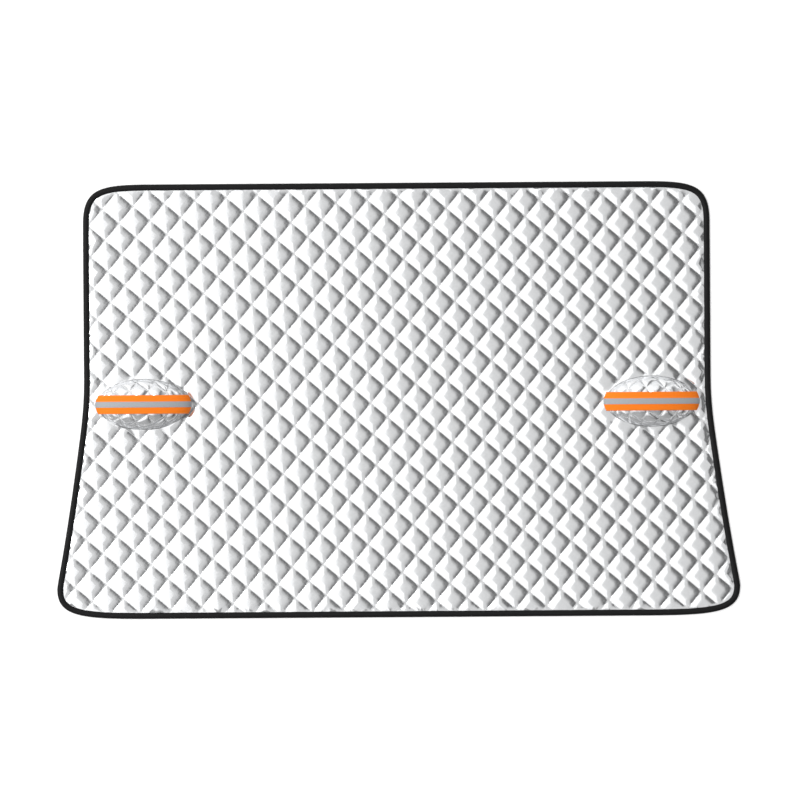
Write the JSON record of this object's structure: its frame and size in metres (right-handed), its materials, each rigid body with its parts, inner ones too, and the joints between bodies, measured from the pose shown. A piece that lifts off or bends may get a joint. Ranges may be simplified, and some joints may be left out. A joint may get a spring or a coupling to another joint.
{
  "type": "windshield frost cover",
  "caption": "Quilted silver sheet with a bound black edge and padded pockets for the door mirrors, laid over a car windshield against frost.",
  "frame": {"origin": "middle of the underside of the cover as it lies flat, film side up", "axes": "+Z out of the film side, +X across the windshield, +Y towards the roof edge"},
  "size_m": [1.83, 1.164, 0.0627],
  "materials": {
    "silver_film": "satin silver film over quilted wadding",
    "black_tape": "woven polyester tape",
    "orange_tape": "woven fluorescent tape",
    "reflective_tape": "glass bead reflective tape",
    "lining": "plain grey non-woven lining"
  },
  "bodies": {
    "root": {"quilted_panel": "silver_film", "edge_binding": "black_tape", "left_mirror_cap": "silver_film", "right_mirror_cap": "silver_film", "left_orange_band": "orange_tape", "right_orange_band": "orange_tape", "left_reflective_stripe": "reflective_tape", "right_reflective_stripe": "reflective_tape", "left_mouth_tape": "black_tape", "right_mouth_tape": "black_tape"}
  },
  "joints": []
}
